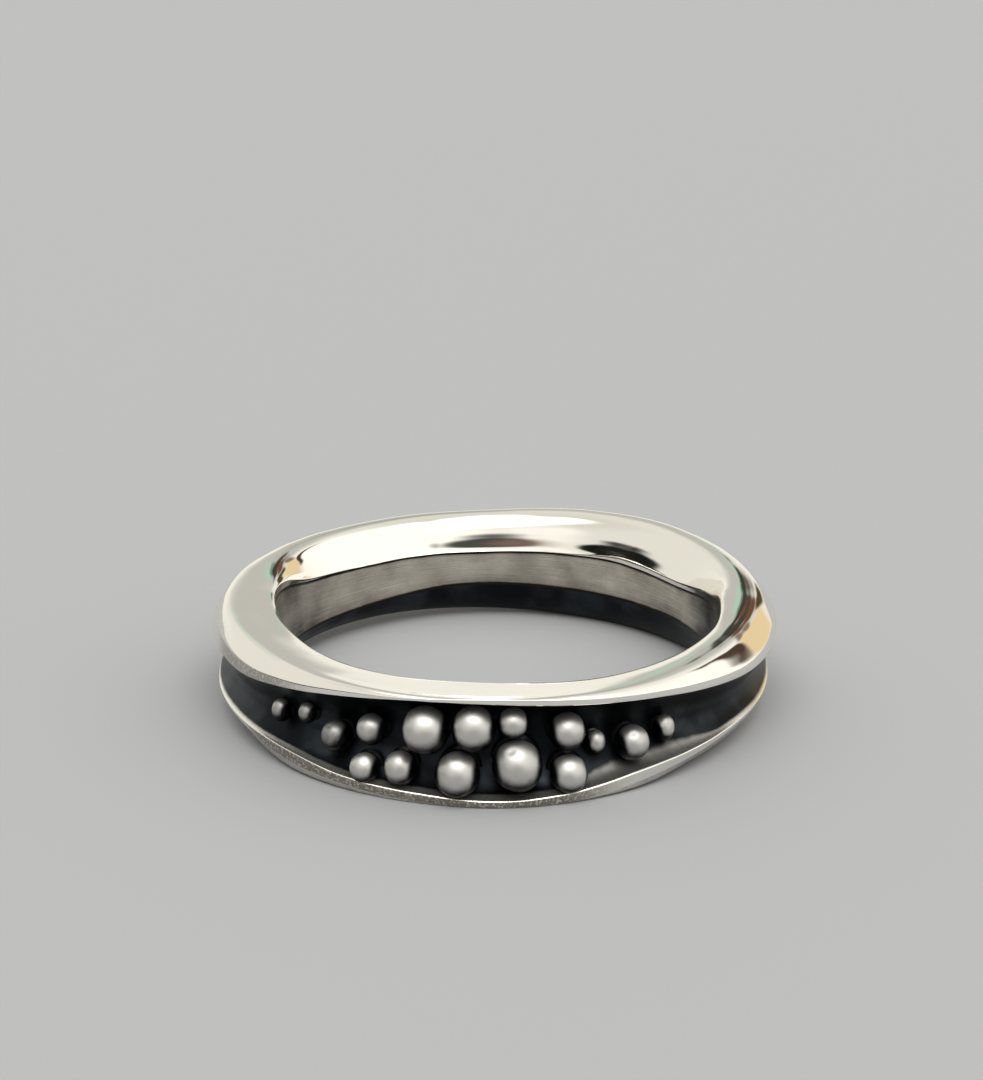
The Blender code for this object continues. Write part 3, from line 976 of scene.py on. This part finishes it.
@dataclass
class GranuleCluster:
    """The balls fused to the channel's floor, each with a small flared foot."""

    band: Band
    biggest: float = 1.9 * MM
    sink: float = 0.07
    sides: int = 48
    ball_rings: int = 24
    foot_rings: int = 8
    pit_width: float = 0.20
    leave: float = 126.0
    unevenness: float = 0.018

    def profile(self) -> tuple[Array, Array]:
        """A ball's half outline for a radius of 1: the sphere, then a curve that flares out onto the floor.

        Returns:
            Place along the outward axis and distance from it, from the crown to the foot.
        """
        leave = np.radians(self.leave)
        turn = np.linspace(0, leave, self.ball_rings + 1)[1:]
        t = np.linspace(0, 1, self.foot_rings + 1)[1:]
        start = np.array([np.cos(leave), np.sin(leave)])
        knee = np.array([-0.84, 0.62])
        end = np.array([-0.90, 0.98])
        foot = (1 - t)[:, None] ** 2 * start + (2 * t * (1 - t))[:, None] * knee + t[:, None] ** 2 * end
        return np.concatenate([np.cos(turn), foot[:, 0]]), np.concatenate([np.sin(turn), foot[:, 1]])

    def ball(self, number: int, granule: Granule) -> tuple[Array, Array]:
        """One ball's points, and how far its patina is rubbed and its top painted lighter.

        Args:
            number: seeds its unevenness.
            granule: its place and size.

        Returns:
            Points, and a rub from 0 to 1 for each.
        """
        now = self.band.stations_at(np.array([granule.azimuth]))
        height = self.band.height * granule.height
        upper, lower = self.band.rim_heights(now)
        along = (upper - height) / (upper - lower)
        radius = self.biggest * granule.diameter / 2
        reach = self.band.channel_radius(now, along) + radius * (1 - 2 * self.sink)
        centre = on_ring(np.array([[granule.azimuth]]), reach, height + 0 * reach).reshape(3)
        angle = np.radians(granule.azimuth)
        outwards = np.array([np.sin(angle), -np.cos(angle), 0])
        sideways = np.array([np.cos(angle), np.sin(angle), 0])
        upwards = np.array([0, 0, granule.tall])
        out, wide = self.profile()
        turn = np.arange(self.sides) * 2 * np.pi / self.sides
        ring = np.cos(turn)[:, None] * sideways + np.sin(turn)[:, None] * upwards
        points = out[:, None, None] * outwards + wide[:, None, None] * ring
        points = np.vstack([points.reshape(-1, 3), outwards, -0.95 * outwards])
        swell = 1 + self.unevenness * waves(number, points, 1.6)
        # A pit is a bell-shaped dent where the ball's skin faces its direction
        pit_side, pit_up = granule.pit_at
        pit = pit_side * sideways + pit_up * upwards + np.sqrt(1 - pit_side**2 - pit_up**2) * outwards
        swell -= granule.pit_depth * np.exp(-((points - pit) ** 2).sum(axis=1) / self.pit_width**2)
        # Painted light: the ball is painted lighter where it faces up, as if lit from above, and where it
        # faces out, where it is rubbed; darker towards its sideways flanks
        lit = 0.70 * points @ outwards + 0.80 * points[:, 2]
        flank = np.abs(points @ sideways)
        rubbed_and_lit = granule.rub * smoothstep(-0.35, 1.0, lit) * (1 - 0.8 * smoothstep(0.60, 0.97, flank))
        return points * radius * swell[:, None] + centre, rubbed_and_lit

    def build(self) -> bpy.types.Object:
        """Puts all balls into one piece, each a closed skin."""
        rings = self.ball_rings + self.foot_rings
        quads = grid_quads(rings, self.sides, rows_close=False)[:, ::-1]
        side = np.arange(self.sides)
        after = (side + 1) % self.sides
        crown, base = rings * self.sides, rings * self.sides + 1
        last = (rings - 1) * self.sides
        fans = np.concatenate(
            [
                np.stack([side, after, np.full_like(side, crown)], axis=-1),
                np.stack([last + after, last + side, np.full_like(side, base)], axis=-1),
            ]
        )
        balls = [self.ball(number, granule) for number, granule in enumerate(GRANULES)]
        count = len(balls[0][0])
        starts = np.arange(len(balls))[:, None, None] * count
        piece = add_mesh(
            "granules",
            np.concatenate([points for points, _ in balls]),
            (quads[None] + starts).reshape(-1, 4),
            (fans[None] + starts).reshape(-1, 3),
        )
        add_attribute(piece, "rubbed_and_lit", np.concatenate([rubbed_and_lit for _, rubbed_and_lit in balls]))
        return piece

    def dress(self, piece: bpy.types.Object) -> None:
        """Satin crowns, painted lighter on top, fading into black flanks."""
        finish = BlackenedSilver(
            name="granulated_silver",
            black="101113",
            worn="2A2C2F",
            rubbed_and_lit="C6C5C2",
            roughness=0.46,
            rubbed_roughness=0.44,
            mottle=0.30,
            edge=0.48,
        )
        piece.data.materials.append(finish.material())


# -------- studio


@dataclass
class Studio:
    """A plain pale table, soft light and the camera."""

    tilt: float = 22.0
    reach: float = 150 * MM
    lens_mm: float = 124.5
    shift: tuple[float, float] = (-0.00324, 0.1435)
    floor_half: float = 1.5
    floor_colour: str = "9FA0A3"
    pale: tuple[str, float] = ("F4F2EA", 0.94)
    ahead_up_to: float = 95.0

    def floor(self) -> bpy.types.Object:
        """The table: a wide flat quad that the ring rests on."""
        half = self.floor_half
        corners = np.array([[-half, -half, 0], [half, -half, 0], [half, half, 0], [-half, half, 0]])
        piece = add_mesh("table", corners, np.array([[0, 1, 2, 3]]))
        made, nodes, shader = new_material("pale_matt_table")
        nodes.plug(shader, Base_Color=linear(self.floor_colour), Roughness=0.8)
        piece.data.materials.append(made)
        return piece

    def sky(self) -> None:
        """Wraps the room round the ring: a soft pale sky on which each patch lies as a blurred ellipse."""
        world = bpy.data.worlds.new("soft_studio_sky")
        world.use_nodes = True
        nodes = Nodes(world.node_tree)
        ray = nodes.add("TexCoord").outputs["Generated"]
        x, y, z = nodes.add("SeparateXYZ", Vector=ray).outputs
        degree = 180 / np.pi
        up = nodes.add("Math", {"operation": "ARCSINE"}, in_0=z)
        rise = nodes.add("Math", TIMES, in_0=up, in_1=degree)
        turns: dict[bool, bpy.types.Node] = {}
        # Seen from behind, the azimuth runs on past 180 degrees instead of jumping back
        for behind, sign, start in ((False, 1.0, 0.0), (True, -1.0, 180.0)):
            side = nodes.add("Math", TIMES, in_0=x, in_1=sign)
            ahead = nodes.add("Math", TIMES, in_0=y, in_1=sign)
            turn = nodes.add("Math", {"operation": "ARCTAN2"}, in_0=side, in_1=ahead)
            wide = nodes.add("Math", TIMES_PLUS, in_0=turn, in_1=degree, in_2=start)
            turns[behind] = nodes.add("CombineXYZ", X=wide, Y=rise)
        colour: bpy.types.NodeSocket = nodes.add("RGB").outputs[0]
        colour.default_value = self.light_of(*self.pale)
        for patch in SKY:
            behind = abs(patch.azimuth) > self.ahead_up_to
            azimuth = patch.azimuth % 360 if behind else patch.azimuth
            at = nodes.add(
                "Mapping",
                {"vector_type": "TEXTURE"},
                Vector=turns[behind],
                Location=(azimuth, patch.elevation, 0),
                Rotation=(0, 0, np.radians(patch.turn)),
                Scale=(patch.half_wide, patch.half_high, 1),
            )
            off = nodes.add("VectorMath", {"operation": "LENGTH"}, in_0=at).outputs["Value"]
            share = nodes.add(
                "MapRange",
                EASED,
                Value=off,
                From_Min=1 + patch.soft,
                From_Max=1 - patch.soft,
                To_Max=patch.cover,
            )
            light = self.light_of(patch.colour, patch.strength)
            mixed = nodes.add("Mix", COLOURS, in_0=share, in_6=colour, in_7=light)
            colour = mixed.outputs[2]
        nodes.plug(world.node_tree.nodes["Background"], Color=colour, Strength=1.0)
        bpy.context.scene.world = world

    @staticmethod
    def light_of(hex_colour: str, strength: float) -> tuple[float, float, float, float]:
        """A colour times a strength, as light."""
        red, green, blue, _ = linear(hex_colour)
        return red * strength, green * strength, blue * strength, 1.0

    def camera(self) -> None:
        """The camera, level across and tilted down at the ring."""
        lens = bpy.data.cameras.new("camera")
        lens.lens = self.lens_mm
        lens.sensor_width = 36.0
        lens.shift_x, lens.shift_y = self.shift
        lens.clip_start, lens.clip_end = 0.01, 10.0
        held = bpy.data.objects.new("camera", lens)
        bpy.context.scene.collection.objects.link(held)
        tilt = np.radians(self.tilt)
        heading = Vector((0, np.cos(tilt), -np.sin(tilt)))
        held.location = -heading * self.reach
        held.rotation_mode = "QUATERNION"
        held.rotation_quaternion = heading.to_track_quat("-Z", "Y")
        bpy.context.scene.camera = held

    def build(self) -> None:
        """Sets everything round the ring."""
        self.floor()
        self.sky()
        self.camera()
        bpy.context.scene.view_settings.view_transform = "Standard"


def main() -> None:
    """Builds the band, the granules and the studio, and reports each piece."""
    logging.basicConfig(level=logging.INFO, format="%(name)s: %(message)s")
    band = Band()
    for maker in (band, GranuleCluster(band)):
        piece = maker.build()
        maker.dress(piece)
        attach(piece, ROOT_BODY)
        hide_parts(RING_NODE)
        log.info("%s: %d faces", piece.name, len(piece.data.polygons))
    Studio().build()


if __name__ == "__main__":
    main()
